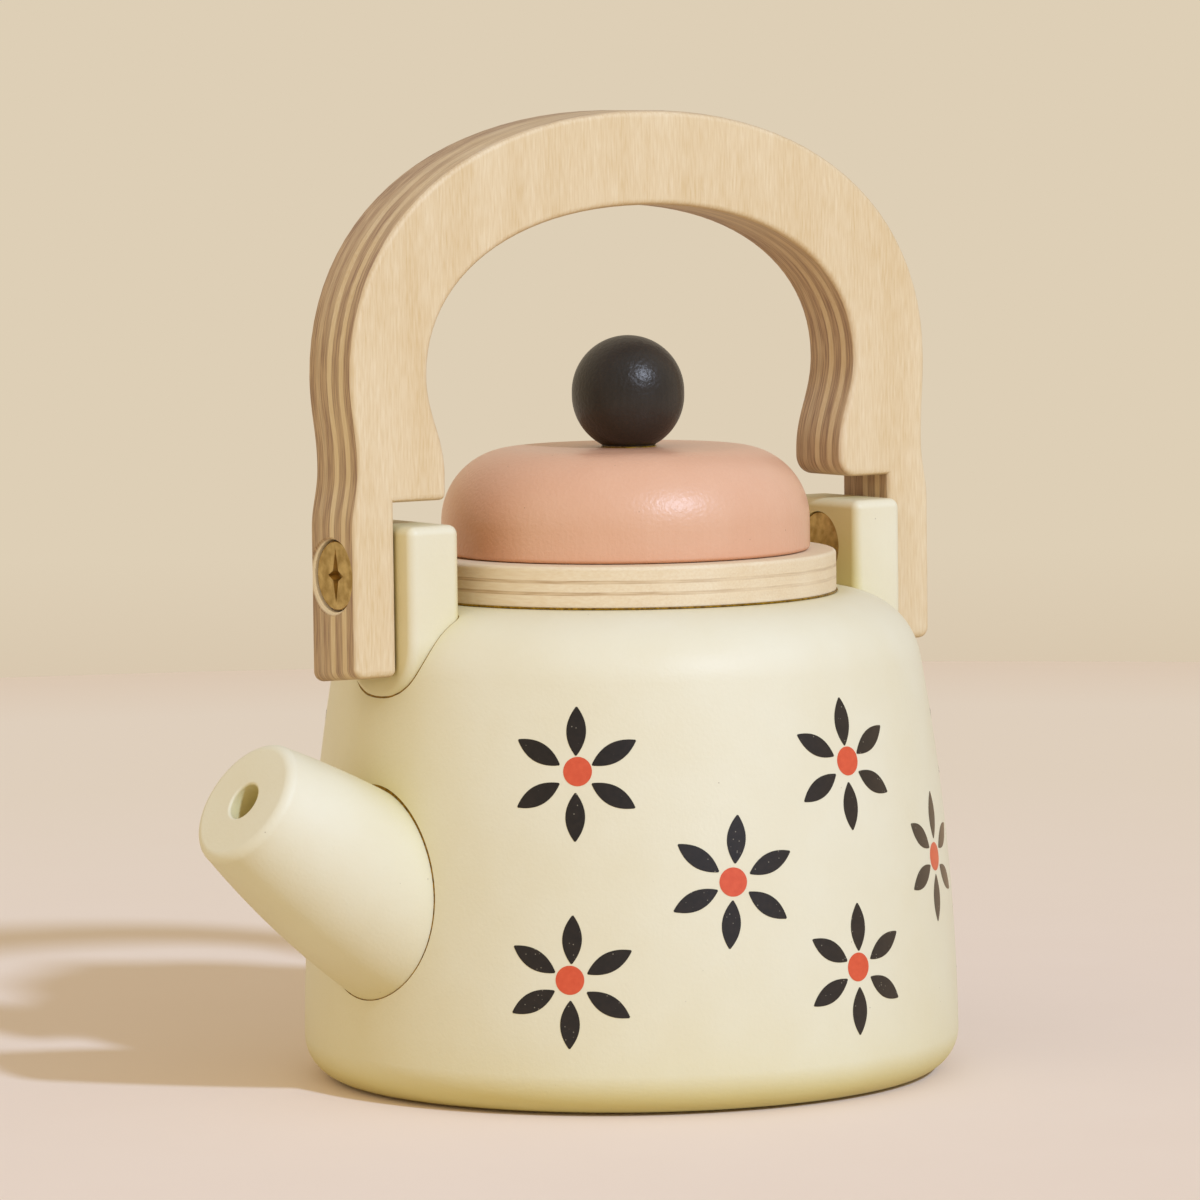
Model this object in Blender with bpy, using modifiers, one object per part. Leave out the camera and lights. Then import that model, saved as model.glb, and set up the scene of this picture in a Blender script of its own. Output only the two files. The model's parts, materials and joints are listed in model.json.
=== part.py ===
"""A wooden toy kettle: turned body, plywood collar and swing handle, lift-off lid, angled spout.

The origin is the centre of the base on the turned axis, +Z is up, and the spout points along -X.
The handle stands in the XZ plane and swings about a line along X through its two brass bolts.
"""
from math import asin, atan2, cos, pi, radians, sin, sqrt

import bmesh
import bpy
from mathutils import Vector

MM = 0.001

# Fits
GLUE_GAP = 0.25 * MM
RUNNING_GAP = 0.3 * MM
LID_GAP = 0.3 * MM
PLUG_GAP = 0.5 * MM
LEG_CLEARANCE = 0.9 * MM
THREAD_GAP = 0.3 * MM

# Body, turned on Z and bored from the top
BODY_HEIGHT = 71.3 * MM
BELLY_RADIUS = 48.8 * MM
BELLY_HEIGHT = 2.0 * MM
SIDE_CURVE = 345.0 * MM
FOOT_ROUND = 5.5 * MM
SHOULDER_ROUND = 11.5 * MM
CAVITY_RADIUS = 25.5 * MM
FLOOR_THICKNESS = 14.0 * MM

# Collar, a plywood ring on the body
COLLAR_RADIUS = 31.2 * MM
COLLAR_BORE = 22.0 * MM
COLLAR_THICKNESS = 6.0 * MM
COLLAR_EASE = 0.5 * MM

# Lid: dome, ball knob, plug below and the dowel through all three
DOME_RADIUS = 27.35 * MM
DOME_HEIGHT = 15.2 * MM
DOME_ROUND = 10.8 * MM
DOME_EDGE_ROUND = 2.0 * MM
KNOB_RADIUS = 8.35 * MM
KNOB_NECK_RADIUS = 4.0 * MM
KNOB_NECK = 0.6 * MM
PLUG_LENGTH = 8.0 * MM
PLUG_CHAMFER = 0.8 * MM
DOWEL_RADIUS = 3.0 * MM
KNOB_DOWEL_DEPTH = 8.0 * MM

# Spout, a turned cone with a swelling side, seated in an angled socket
SPOUT_HEIGHT = 31.4 * MM
SPOUT_ANGLE = radians(33.9)
SPOUT_PROUD = 24.2 * MM
SPOUT_SEAT = 11.8 * MM
SPOUT_TIP_RADIUS = 9.7 * MM
SPOUT_ROOT_RADIUS = 14.3 * MM
SPOUT_TIP_ROUND = 1.3 * MM
SPOUT_BORE_RADIUS = 2.5 * MM
SPOUT_BORE_DEPTH = 12.0 * MM

# Pivot of the handle, and the lugs that carry it
PIVOT_RISE = 5.3 * MM
LUG_WIDTH = 19.0 * MM
LUG_THICKNESS = 8.6 * MM
LUG_RISE = 7.1 * MM
LUG_DROP = 18.8 * MM
LUG_EASE = 1.4 * MM
LUG_DOWEL_RADIUS = 2.0 * MM
LUG_DOWEL_IN_BODY = 5.0 * MM
LUG_DOWEL_IN_LUG = 5.0 * MM
LUG_DOWEL_DROP = 13.2 * MM

# Handle, sawn from one board
HANDLE_BOARD = 12.0 * MM
HANDLE_EASE = 0.6 * MM
LEG_WIDTH = 7.1 * MM
LEG_DROP = 14.4 * MM
LEG_END_ROUND = 1.5 * MM
STEP_GAP = 3.4 * MM
STEP_DEPTH = 9.0 * MM
STEP_ROUND = 2.0 * MM
BULGE_RISE = 3.7 * MM
GRIP_THICKNESS = 13.9 * MM
ARCH_RISE = 52.3 * MM
ARCH_SPREAD = 2.9 * MM
ARCH_WIDEST_RISE = 28.5 * MM
WAIST_INSET = 1.1 * MM
WAIST_RISE = 15.4 * MM
LEG_TOP_RISE = 6.4 * MM
ARCH_FULLNESS = 0.6
WAVE_FULLNESS = 0.4

# Brass bolt and barrel nut on each side
HEAD_RADIUS = 5.0 * MM
HEAD_THICKNESS = 1.6 * MM
BOLT_SINK = 0.6 * MM
NUT_SINK = 0.9 * MM
POST_RADIUS = 2.6 * MM
SHANK_RADIUS = 1.5 * MM
SHANK_LENGTH = 8.0 * MM
DRIVE_SLOT_WIDTH = 0.8 * MM
DRIVE_SLOT_DEPTH = 0.7 * MM
DRIVE_SLOT_LENGTH = 7.6 * MM
DRIVE_CROSS_LENGTH = 4.0 * MM

# Fineness of round surfaces
TURN_STEPS = 64
KNOB_STEPS = 32
SMALL_STEPS = 24
ARC_STEPS = 5
SIDE_STEPS = 4
CURVE_STEPS = 12
CUT_OVERRUN = 2.0 * MM
QUARTER_BEND = 4 / 3 * (sqrt(2) - 1)
WELD_DISTANCE = 0.01 * MM
SHARP_ANGLE = radians(35)


def side_radius_at(z):
    """Radius of the body's long curved side at a height."""
    return BELLY_RADIUS - SIDE_CURVE + sqrt(SIDE_CURVE ** 2 - (z - BELLY_HEIGHT) ** 2)


def round_edge_centre(radius, z):
    """Centre line radius of a round edge that runs on from the side, for its own radius and height."""
    return BELLY_RADIUS - SIDE_CURVE + sqrt((SIDE_CURVE - radius) ** 2 - (z - BELLY_HEIGHT) ** 2)


# Heights and places that follow from the sizes above
collar_bottom = BODY_HEIGHT + GLUE_GAP
collar_top = collar_bottom + COLLAR_THICKNESS
dome_bottom = collar_top + LID_GAP
dome_top = dome_bottom + DOME_HEIGHT
knob_flat_z = dome_top + GLUE_GAP
knob_centre_z = knob_flat_z + KNOB_NECK + sqrt(KNOB_RADIUS ** 2 - KNOB_NECK_RADIUS ** 2)
plug_top = dome_bottom - GLUE_GAP
plug_bottom = plug_top - PLUG_LENGTH
pivot_z = BODY_HEIGHT + PIVOT_RISE
leg_inner = side_radius_at(pivot_z - LEG_DROP) + LEG_CLEARANCE
leg_outer = leg_inner + LEG_WIDTH
lug_outer = leg_inner - RUNNING_GAP
lug_inner = lug_outer - LUG_THICKNESS
head_under = leg_outer - BOLT_SINK - HEAD_THICKNESS
nut_under = lug_inner + NUT_SINK + HEAD_THICKNESS
post_end = head_under - RUNNING_GAP
shank_end = head_under - SHANK_LENGTH


def arc(centre_r, centre_z, radius, start, stop, steps=ARC_STEPS):
    """Points of a round stretch of a profile, from one angle to another."""
    angles = [start + (stop - start) * i / steps for i in range(steps + 1)]
    return [(centre_r + radius * cos(a), centre_z + radius * sin(a)) for a in angles]


def collection(name):
    """A new collection in the scene."""
    group = bpy.data.collections.new(name)
    bpy.context.scene.collection.children.link(group)
    return group


def paint(name, colour, roughness, metallic=0.0):
    """A Principled material from an 8-bit colour."""
    material = bpy.data.materials.new(name)
    material.use_nodes = True
    shader = material.node_tree.nodes["Principled BSDF"]
    linear = [((c / 255 + 0.055) / 1.055) ** 2.4 for c in colour]
    shader.inputs["Base Color"].default_value = (*linear, 1.0)
    shader.inputs["Roughness"].default_value = roughness
    shader.inputs["Metallic"].default_value = metallic
    return material


def add_object(name, mesh, group, material=None):
    """An object for a mesh, shaded smooth with its corners kept sharp."""
    piece = bpy.data.objects.new(name, mesh)
    group.objects.link(piece)
    if material:
        mesh.materials.append(material)
        mesh.shade_smooth()
        mesh.set_sharp_from_angle(angle=SHARP_ANGLE)
    else:
        piece.hide_render = True
        piece.display_type = "WIRE"
    return piece


def turned(name, profile, group, material=None, closed=False, steps=TURN_STEPS):
    """A profile of (radius, height) points turned about Z with a Screw modifier."""
    mesh = bpy.data.meshes.new(name)
    count = len(profile)
    edges = [(i, i + 1) for i in range(count - 1)]
    if closed:
        edges.append((count - 1, 0))
    mesh.from_pydata([(r, 0.0, z) for r, z in profile], edges, [])
    piece = add_object(name, mesh, group, material)
    screw = piece.modifiers.new("Turn", "SCREW")
    screw.axis = "Z"
    screw.steps = steps
    screw.render_steps = steps
    screw.use_merge_vertices = True
    screw.merge_threshold = WELD_DISTANCE
    screw.use_smooth_shade = material is not None
    return piece


def flat_plate(name, points, thickness, group, material=None, ease=0.0):
    """A closed outline of (x, y, left handle, right handle) knots, extruded and made a mesh.

    A handle is an offset from its knot, or None where the outline runs straight.
    """
    curve = bpy.data.curves.new(name, "CURVE")
    curve.dimensions = "2D"
    curve.fill_mode = "BOTH"
    curve.resolution_u = CURVE_STEPS
    curve.render_resolution_u = CURVE_STEPS
    curve.extrude = thickness / 2 - ease
    curve.bevel_depth = ease
    curve.bevel_resolution = 1
    curve.offset = -ease
    spline = curve.splines.new("BEZIER")
    spline.bezier_points.add(len(points) - 1)
    spline.use_cyclic_u = True
    for knot, (x, y, left, right) in zip(spline.bezier_points, points):
        knot.co = (x, y, 0.0)
        knot.handle_left_type = "FREE" if left else "VECTOR"
        knot.handle_right_type = "FREE" if right else "VECTOR"
        if left:
            knot.handle_left = (x + left[0], y + left[1], 0.0)
        if right:
            knot.handle_right = (x + right[0], y + right[1], 0.0)
    holder = bpy.data.objects.new(name + "_outline", curve)
    bpy.context.scene.collection.objects.link(holder)
    evaluated = holder.evaluated_get(bpy.context.evaluated_depsgraph_get())
    mesh = bpy.data.meshes.new_from_object(evaluated)
    bpy.data.objects.remove(holder)
    work = bmesh.new()
    work.from_mesh(mesh)
    bmesh.ops.remove_doubles(work, verts=work.verts, dist=WELD_DISTANCE)
    bmesh.ops.recalc_face_normals(work, faces=work.faces)
    work.to_mesh(mesh)
    work.free()
    mesh.materials.clear()
    return add_object(name, mesh, group, material)


def rod(name, radius, length, group, material=None):
    """A plain cylinder along Z, from 0 to its length."""
    mesh = bpy.data.meshes.new(name)
    work = bmesh.new()
    bmesh.ops.create_cone(work, cap_ends=True, segments=SMALL_STEPS, radius1=radius, radius2=radius,
                          depth=length)
    bmesh.ops.translate(work, verts=work.verts, vec=Vector((0.0, 0.0, length / 2)))
    work.to_mesh(mesh)
    work.free()
    return add_object(name, mesh, group, material)


def block(name, size, group):
    """A box cutter centred on its origin."""
    mesh = bpy.data.meshes.new(name)
    work = bmesh.new()
    bmesh.ops.create_cube(work, size=1.0)
    bmesh.ops.scale(work, verts=work.verts, vec=Vector(size))
    work.to_mesh(mesh)
    work.free()
    return add_object(name, mesh, group)


def cut(piece, *tools):
    """Take the tools' shapes out of a piece."""
    for tool in tools:
        boolean = piece.modifiers.new("Cut " + tool.name, "BOOLEAN")
        boolean.operation = "DIFFERENCE"
        boolean.object = tool


def face_outward(piece, side, place=0.0, drop=0.0):
    """Lay a piece that was made along Z on the pivot line or below it, pointing out to one side."""
    piece.rotation_euler = (0.0, side * pi / 2, 0.0)
    piece.location = (side * place, 0.0, pivot_z - drop)


for old in list(bpy.data.objects):
    bpy.data.objects.remove(old)
kettle = collection("toy_kettle")
cutters = collection("cutters")

cream = paint("cream lacquer", (238, 231, 204), 0.38)
plywood = paint("birch plywood", (226, 198, 158), 0.55)
pink = paint("pink lacquer", (222, 160, 138), 0.36)
black = paint("black lacquer", (48, 46, 47), 0.5)
brass = paint("brass", (170, 135, 66), 0.32, metallic=1.0)
bare_wood = paint("bare beech", (214, 178, 132), 0.6)


def make_body():
    """The hollow body: long curved side, round shoulder and foot."""
    axis_gap = BELLY_RADIUS - SIDE_CURVE
    shoulder_z = BODY_HEIGHT - SHOULDER_ROUND
    shoulder_r = round_edge_centre(SHOULDER_ROUND, shoulder_z)
    foot_r = round_edge_centre(FOOT_ROUND, FOOT_ROUND)
    upper = atan2(shoulder_z - BELLY_HEIGHT, shoulder_r - axis_gap)
    lower = atan2(FOOT_ROUND - BELLY_HEIGHT, foot_r - axis_gap)
    shoulder = arc(shoulder_r, shoulder_z, SHOULDER_ROUND, pi / 2, upper)
    side = arc(axis_gap, BELLY_HEIGHT, SIDE_CURVE, upper, lower, SIDE_STEPS)
    foot = arc(foot_r, FOOT_ROUND, FOOT_ROUND, lower, -pi / 2)
    profile = [(0.0, FLOOR_THICKNESS), (CAVITY_RADIUS, FLOOR_THICKNESS), (CAVITY_RADIUS, BODY_HEIGHT)]
    return turned("body", profile + shoulder + side[1:-1] + foot + [(0.0, 0.0)], kettle, cream)


def make_collar():
    """The plywood ring glued on the body."""
    edge = COLLAR_RADIUS - COLLAR_EASE
    top = arc(edge, collar_top - COLLAR_EASE, COLLAR_EASE, pi / 2, 0.0, 2)
    bottom = arc(edge, collar_bottom + COLLAR_EASE, COLLAR_EASE, 0.0, -pi / 2, 2)
    inside = [(COLLAR_BORE, collar_bottom), (COLLAR_BORE, collar_top)]
    turned("collar_ring", top + bottom + inside, kettle, plywood, closed=True)


def make_lid():
    """Dome, knob, plug and dowel, under one empty that lifts them."""
    lift = bpy.data.objects.new("lid_lift", None)
    kettle.objects.link(lift)
    lift.location = (0.0, 0.0, collar_top)
    hole = DOWEL_RADIUS + GLUE_GAP
    crown_r = DOME_RADIUS - DOME_ROUND
    crown = arc(crown_r, dome_top - DOME_ROUND, DOME_ROUND, pi / 2, 0.0, 2 * ARC_STEPS)
    edge_r = DOME_RADIUS - DOME_EDGE_ROUND
    edge = arc(edge_r, dome_bottom + DOME_EDGE_ROUND, DOME_EDGE_ROUND, 0.0, -pi / 2)
    profile = [(hole, dome_top)] + crown + edge + [(hole, dome_bottom)]
    dome = turned("lid_dome", profile, kettle, pink, closed=True)

    neck = asin(KNOB_NECK_RADIUS / KNOB_RADIUS)
    ball = arc(0.0, knob_centre_z, KNOB_RADIUS, pi / 2, neck - pi / 2, 3 * ARC_STEPS)
    ball[0] = (0.0, knob_centre_z + KNOB_RADIUS)
    ceiling = knob_flat_z + KNOB_DOWEL_DEPTH + GLUE_GAP
    socket = [(KNOB_NECK_RADIUS, knob_flat_z), (hole, knob_flat_z), (hole, ceiling), (0.0, ceiling)]
    knob = turned("lid_knob", ball + socket, kettle, black, steps=KNOB_STEPS)

    rim = COLLAR_BORE - PLUG_GAP
    profile = [(hole, plug_top), (rim, plug_top), (rim, plug_bottom + PLUG_CHAMFER),
               (rim - PLUG_CHAMFER, plug_bottom), (hole, plug_bottom)]
    plug = turned("lid_plug", profile, kettle, bare_wood, closed=True)

    dowel = rod("knob_dowel", DOWEL_RADIUS, knob_flat_z + KNOB_DOWEL_DEPTH - plug_bottom, kettle, bare_wood)
    dowel.location.z = plug_bottom
    for piece in (dome, knob, plug, dowel):
        piece.parent = lift
        piece.location.z -= collar_top


def spout_profile(gap):
    """Profile of the spout along its own axis, from the wall outward, grown by a gap."""
    length = SPOUT_PROUD + SPOUT_SEAT

    def radius_at(height):
        swell = (height + SPOUT_SEAT) / length
        return SPOUT_ROOT_RADIUS - (SPOUT_ROOT_RADIUS - SPOUT_TIP_RADIUS) * swell ** 2

    stations = 2 * ARC_STEPS
    top = SPOUT_PROUD - SPOUT_TIP_ROUND
    heights = [top - (top + SPOUT_SEAT) * i / stations for i in range(stations + 1)]
    side = [(radius_at(h) + gap, h) for h in heights]
    side[-1] = (side[-1][0], -SPOUT_SEAT - gap)
    return side


def make_spout(body):
    """The spout and its socket in the body."""
    side = spout_profile(0.0)
    tip = arc(side[0][0] - SPOUT_TIP_ROUND, SPOUT_PROUD - SPOUT_TIP_ROUND, SPOUT_TIP_ROUND, pi / 2, 0.0, 4)
    bore = [(0.0, SPOUT_PROUD - SPOUT_BORE_DEPTH), (SPOUT_BORE_RADIUS, SPOUT_PROUD - SPOUT_BORE_DEPTH),
            (SPOUT_BORE_RADIUS, SPOUT_PROUD)]
    spout = turned("spout", bore + tip[:-1] + side + [(0.0, -SPOUT_SEAT)], kettle, cream)
    grown = spout_profile(GLUE_GAP)
    socket = turned("spout_socket", [(0.0, grown[0][1])] + grown + [(0.0, grown[-1][1])], cutters)
    for piece in (spout, socket):
        piece.rotation_euler = (0.0, SPOUT_ANGLE - pi / 2, 0.0)
        piece.location = (-side_radius_at(SPOUT_HEIGHT), 0.0, SPOUT_HEIGHT)
    cut(body, socket)


def tongue(gap, ease):
    """Outline of a lug about the pivot, grown by a gap: straight sides and a half-round lower end."""
    half = LUG_WIDTH / 2 + gap
    centre = LUG_WIDTH / 2 - LUG_DROP
    top = LUG_RISE + gap
    bend = half * QUARTER_BEND
    corner = ease * QUARTER_BEND
    right = [(half, centre, (0.0, -bend), None), (half, top - ease, None, (0.0, corner)),
             (half - ease, top, (corner, 0.0), None)]
    return [(0.0, centre - half, (-bend, 0.0), (bend, 0.0))] + right + mirrored(right)


def mirrored(knots):
    """The other half of an outline, in the order that carries on round it."""
    def flip(handle):
        return handle and (-handle[0], handle[1])
    return [(-x, y, flip(right), flip(left)) for x, y, left, right in reversed(knots)]


def handle_outline():
    """Outline of the handle about the pivot: an arch, a wave in each side, and a stepped leg."""
    grip_top = ARCH_RISE + GRIP_THICKNESS
    step = LUG_RISE + STEP_GAP
    hook = leg_inner - STEP_DEPTH
    bulge = step + BULGE_RISE
    arch = hook + ARCH_SPREAD
    outer_bend = ARCH_FULLNESS * (grip_top - ARCH_WIDEST_RISE)
    inner_bend = ARCH_FULLNESS * (ARCH_RISE - ARCH_WIDEST_RISE)
    outer_wave = WAVE_FULLNESS * (ARCH_WIDEST_RISE - WAIST_RISE)
    lower_wave = WAVE_FULLNESS * (WAIST_RISE - LEG_TOP_RISE)
    inner_wave = WAVE_FULLNESS * (ARCH_WIDEST_RISE - bulge)
    end = LEG_END_ROUND * QUARTER_BEND
    curl = STEP_ROUND * QUARTER_BEND
    right = [
        (leg_outer, ARCH_WIDEST_RISE, (0.0, outer_bend), (0.0, -outer_wave)),
        (leg_outer - WAIST_INSET, WAIST_RISE, (0.0, outer_wave), (0.0, -lower_wave)),
        (leg_outer, LEG_TOP_RISE, (0.0, lower_wave), None),
        (leg_outer, LEG_END_ROUND - LEG_DROP, None, (0.0, -end)),
        (leg_outer - LEG_END_ROUND, -LEG_DROP, (end, 0.0), None),
        (leg_inner + LEG_END_ROUND, -LEG_DROP, None, (-end, 0.0)),
        (leg_inner, LEG_END_ROUND - LEG_DROP, (0.0, -end), None),
        (leg_inner, step, None, None),
        (hook + STEP_ROUND, step, None, (-curl, 0.0)),
        (hook, step + STEP_ROUND, (0.0, -curl), None),
        (hook, bulge, None, (0.0, inner_wave)),
        (arch, ARCH_WIDEST_RISE, (0.0, -inner_wave), (0.0, inner_bend)),
    ]
    grip = (0.0, grip_top, (-ARCH_FULLNESS * leg_outer, 0.0), (ARCH_FULLNESS * leg_outer, 0.0))
    under = (0.0, ARCH_RISE, (ARCH_FULLNESS * arch, 0.0), (-ARCH_FULLNESS * arch, 0.0))
    return [grip] + right + [under] + mirrored(right)


def make_handle():
    """The handle, under an empty on the pivot line that swings it."""
    swing = bpy.data.objects.new("handle_swing", None)
    kettle.objects.link(swing)
    swing.location = (0.0, 0.0, pivot_z)
    handle = flat_plate("handle", handle_outline(), HANDLE_BOARD, kettle, plywood, HANDLE_EASE)
    handle.rotation_euler = (pi / 2, 0.0, 0.0)
    handle.parent = swing
    return handle


def make_lug(name, side, body):
    """A lug in its slot in the shoulder, with the dowel that pins it to the body."""
    upright = (pi / 2, 0.0, pi / 2)
    lug = flat_plate(name + "_lug", tongue(0.0, LUG_EASE), LUG_THICKNESS, kettle, cream, LUG_EASE)
    lug.rotation_euler = upright
    lug.location = (side * (lug_inner + lug_outer) / 2, 0.0, pivot_z)

    slot_floor = lug_inner - GLUE_GAP
    slot_mouth = BELLY_RADIUS + CUT_OVERRUN
    slot = flat_plate(name + "_slot", tongue(GLUE_GAP, LUG_EASE), slot_mouth - slot_floor, cutters)
    slot.rotation_euler = upright
    slot.location = (side * (slot_floor + slot_mouth) / 2, 0.0, pivot_z)

    inner_end = slot_floor - LUG_DOWEL_IN_BODY
    length = LUG_DOWEL_IN_BODY + GLUE_GAP + LUG_DOWEL_IN_LUG
    dowel = rod(name + "_lug_dowel", LUG_DOWEL_RADIUS, length, kettle, bare_wood)
    face_outward(dowel, side, inner_end, LUG_DOWEL_DROP)
    hole = rod(name + "_dowel_hole", LUG_DOWEL_RADIUS + GLUE_GAP, length + 2 * GLUE_GAP, cutters)
    face_outward(hole, side, inner_end - GLUE_GAP, LUG_DOWEL_DROP)

    cut(body, slot, hole)
    cut(lug, hole)
    return lug


def make_bolt(name, side, lug, handle):
    """A brass bolt and barrel nut along the pivot line, with their holes in the lug and the leg."""
    def brass_piece(kind, profile):
        return turned(name + kind, profile, kettle, brass, steps=SMALL_STEPS)

    def bore(kind, profile):
        return turned(name + kind, profile, cutters, steps=SMALL_STEPS)

    head_face = leg_outer - BOLT_SINK
    bolt = brass_piece("_bolt", [
        (0.0, head_face), (HEAD_RADIUS, head_face), (HEAD_RADIUS, head_under),
        (SHANK_RADIUS, head_under), (SHANK_RADIUS, shank_end), (0.0, shank_end)])
    thread = SHANK_RADIUS + THREAD_GAP
    thread_end = shank_end - THREAD_GAP
    nut_face = lug_inner + NUT_SINK
    nut = brass_piece("_barrel_nut", [
        (0.0, thread_end), (thread, thread_end), (thread, post_end), (POST_RADIUS, post_end),
        (POST_RADIUS, nut_under), (HEAD_RADIUS, nut_under), (HEAD_RADIUS, nut_face), (0.0, nut_face)])

    hole = POST_RADIUS + GLUE_GAP
    recess = HEAD_RADIUS + GLUE_GAP
    recess_floor = nut_under + GLUE_GAP
    way_in = lug_outer + CUT_OVERRUN
    way_out = lug_inner - CUT_OVERRUN
    lug_bore = bore("_lug_bore", [
        (0.0, way_in), (hole, way_in), (hole, recess_floor),
        (recess, recess_floor), (recess, way_out), (0.0, way_out)])
    hole = POST_RADIUS + RUNNING_GAP
    recess = HEAD_RADIUS + RUNNING_GAP
    way_in = leg_outer + CUT_OVERRUN
    way_out = leg_inner - CUT_OVERRUN
    leg_bore = bore("_leg_bore", [
        (0.0, way_in), (recess, way_in), (recess, post_end),
        (hole, post_end), (hole, way_out), (0.0, way_out)])
    deep = 2 * DRIVE_SLOT_DEPTH
    slot = block(name + "_drive_slot", (DRIVE_SLOT_LENGTH, DRIVE_SLOT_WIDTH, deep), cutters)
    cross = block(name + "_drive_cross", (DRIVE_SLOT_WIDTH, DRIVE_CROSS_LENGTH, deep), cutters)
    for piece in (bolt, nut, lug_bore, leg_bore):
        face_outward(piece, side)
    for piece in (slot, cross):
        face_outward(piece, side, head_face)
    cut(lug, lug_bore)
    cut(handle, leg_bore)
    cut(bolt, slot, cross)


body = make_body()
make_collar()
make_lid()
make_spout(body)
handle = make_handle()
for name, side in (("front", -1), ("rear", 1)):
    lug = make_lug(name, side, body)
    make_bolt(name, side, lug, handle)
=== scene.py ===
# %% [markdown]
# # A wooden toy kettle
# A turned body in cream lacquer carries an angled spout, a plywood collar and two lugs. A plywood
# handle swings between the lugs on brass fastenings, and a pink lid with a black ball lifts off.
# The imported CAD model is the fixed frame: each cell below makes one finer piece in the place of its
# CAD node, and lets it ride on the same moving body.

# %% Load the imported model
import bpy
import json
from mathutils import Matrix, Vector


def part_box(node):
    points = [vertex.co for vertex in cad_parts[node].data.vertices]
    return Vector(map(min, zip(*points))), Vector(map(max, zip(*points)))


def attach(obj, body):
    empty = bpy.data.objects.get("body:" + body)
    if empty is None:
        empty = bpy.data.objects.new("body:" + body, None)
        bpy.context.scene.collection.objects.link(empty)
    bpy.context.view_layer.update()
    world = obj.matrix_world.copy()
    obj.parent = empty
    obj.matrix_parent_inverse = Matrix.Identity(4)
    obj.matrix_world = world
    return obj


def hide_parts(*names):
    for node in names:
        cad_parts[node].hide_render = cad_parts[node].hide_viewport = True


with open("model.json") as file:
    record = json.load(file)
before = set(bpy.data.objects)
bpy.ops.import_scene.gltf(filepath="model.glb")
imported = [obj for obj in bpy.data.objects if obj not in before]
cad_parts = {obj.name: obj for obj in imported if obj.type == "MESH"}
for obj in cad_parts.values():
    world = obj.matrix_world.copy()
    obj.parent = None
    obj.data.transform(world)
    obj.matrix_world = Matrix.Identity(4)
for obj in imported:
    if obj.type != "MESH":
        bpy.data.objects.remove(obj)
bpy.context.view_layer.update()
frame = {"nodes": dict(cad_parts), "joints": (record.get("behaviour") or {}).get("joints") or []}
print("CAD nodes:", ", ".join(sorted(frame["nodes"])))

# %% [markdown]
# ## Working in millimetres
# Blender works in metres, and a toy is thought of in millimetres. All sizes here are in millimetres,
# and a finished mesh is scaled once, when it becomes an object. Sizes that the CAD model already has
# are read from the frame, so that the two can't drift apart.

# %% Units, and sizes read from the frame
import json
from math import asin, atan2, cos, degrees, pi, radians, sin, sqrt

import bmesh
import bpy
from mathutils import Matrix, Quaternion, Vector

MM = 0.001
HAIR = 0.001    # points closer than this, in mm, are one point


def span(node):
    """Lowest and highest corner of a CAD node, in mm."""
    low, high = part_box(node)
    return low / MM, high / MM


body_top = span("body")[1].z
belly_radius = span("body")[1].y
pivot_z = frame["joints"][0]["pos_m"][2] / MM
print(f"body {body_top:.1f} high and {2 * belly_radius:.1f} wide, pivot at {pivot_z:.1f}")

# %% [markdown]
# ## From a bmesh to a piece
# A bmesh is Blender's mesh with its modelling tools. Each piece is shaped in a bmesh in its final
# place, so its object can stay at the origin, unturned and unscaled. Smooth shading with sharp
# corners kept is what a turned or sawn piece needs, and weighted normals keep flat faces flat. A
# Boolean modifier carves, is made final at once, and any slivers that it leaves are swept up.

# %% Helpers that finish and carve a piece
CORNER = radians(32)
scene = bpy.context.scene


def new_object(name, data):
    """An object at the origin, in the scene."""
    made = bpy.data.objects.new(name, data)
    scene.collection.objects.link(made)
    return made


def settle(name, shape):
    """Turn a bmesh in mm into an object in metres."""
    bmesh.ops.scale(shape, vec=(MM, MM, MM), verts=shape.verts)
    mesh = bpy.data.meshes.new(name)
    shape.to_mesh(mesh)
    shape.free()
    return new_object(name, mesh)


def final_mesh(thing):
    """The plain mesh that an object's curve or modifiers come out as."""
    ready = bpy.context.evaluated_depsgraph_get()
    return bpy.data.meshes.new_from_object(thing.evaluated_get(ready))


def carve(piece, *cutters, how="DIFFERENCE"):
    """Cut a piece with other shapes for good, sweep up slivers, and throw those shapes away."""
    for cutter in cutters:
        cut = piece.modifiers.new("Cut", "BOOLEAN")
        cut.operation = how
        cut.solver = "EXACT"
        cut.object = cutter
    carved = final_mesh(piece)
    piece.modifiers.clear()
    clean = bmesh.new()
    clean.from_mesh(carved)
    bmesh.ops.remove_doubles(clean, verts=clean.verts, dist=HAIR * MM)
    bmesh.ops.dissolve_degenerate(clean, edges=clean.edges, dist=HAIR * MM)
    clean.to_mesh(carved)
    clean.free()
    piece.data = carved
    for cutter in cutters:
        bpy.data.objects.remove(cutter)


def dress(piece, finish, body, slot, *nodes):
    """Give a piece its shading and finish, let it ride on a body and stand for its CAD nodes."""
    piece.data.materials.clear()
    piece.data.materials.append(finish)
    piece.data.shade_smooth()
    piece.data.set_sharp_from_angle(angle=CORNER)
    even = piece.modifiers.new("Even shading", "WEIGHTED_NORMAL")
    even.keep_sharp = True
    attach(piece, body)
    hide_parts(*nodes)
    print(f"{piece.name}: {len(piece.data.polygons)} faces, rides on {body}")


# %% [markdown]
# ## Finishes as node trees
# A finish starts from a Principled shader. Colours are written as sRGB hex, as a paint card gives
# them, and turned to the linear values that the shader works in. Patterns read Object coordinates,
# which are in metres, so a pattern of a given size has a scale of one over that size. Most tones run
# from one colour to another as some pattern's value rises, so one function grades two colours.

# %% Helpers for finishes
NOISE = (0.3, 0.7)          # a noise keeps mostly between these values
HARD_NOISE = (0.35, 0.65)   # over these, its lightest and darkest parts run out flat


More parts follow.
